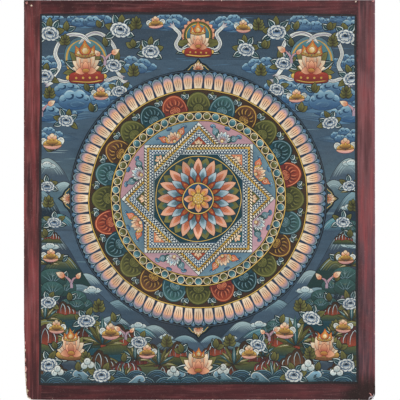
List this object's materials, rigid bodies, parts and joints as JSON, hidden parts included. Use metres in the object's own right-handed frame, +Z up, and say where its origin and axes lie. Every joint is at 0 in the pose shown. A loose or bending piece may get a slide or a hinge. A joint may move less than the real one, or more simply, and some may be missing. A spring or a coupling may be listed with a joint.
{
  "type": "unmounted thangka painting on cotton canvas",
  "caption": "Flat hanging sheet of primed cotton canvas, painted up to its cut edge with a maroon border round a mandala-like medallion.",
  "frame": {"origin": "middle of the sheet's top edge, half way through its thickness", "axes": "+Z up the sheet, -Y out of the painted front, +X to the right of a viewer who faces the front"},
  "size_m": [0.351, 0.0048, 0.4],
  "materials": {
    "painted_cloth": "matt distemper paint on primed cotton canvas"
  },
  "bodies": {
    "root": {"painted_canvas": "painted_cloth"}
  },
  "joints": []
}
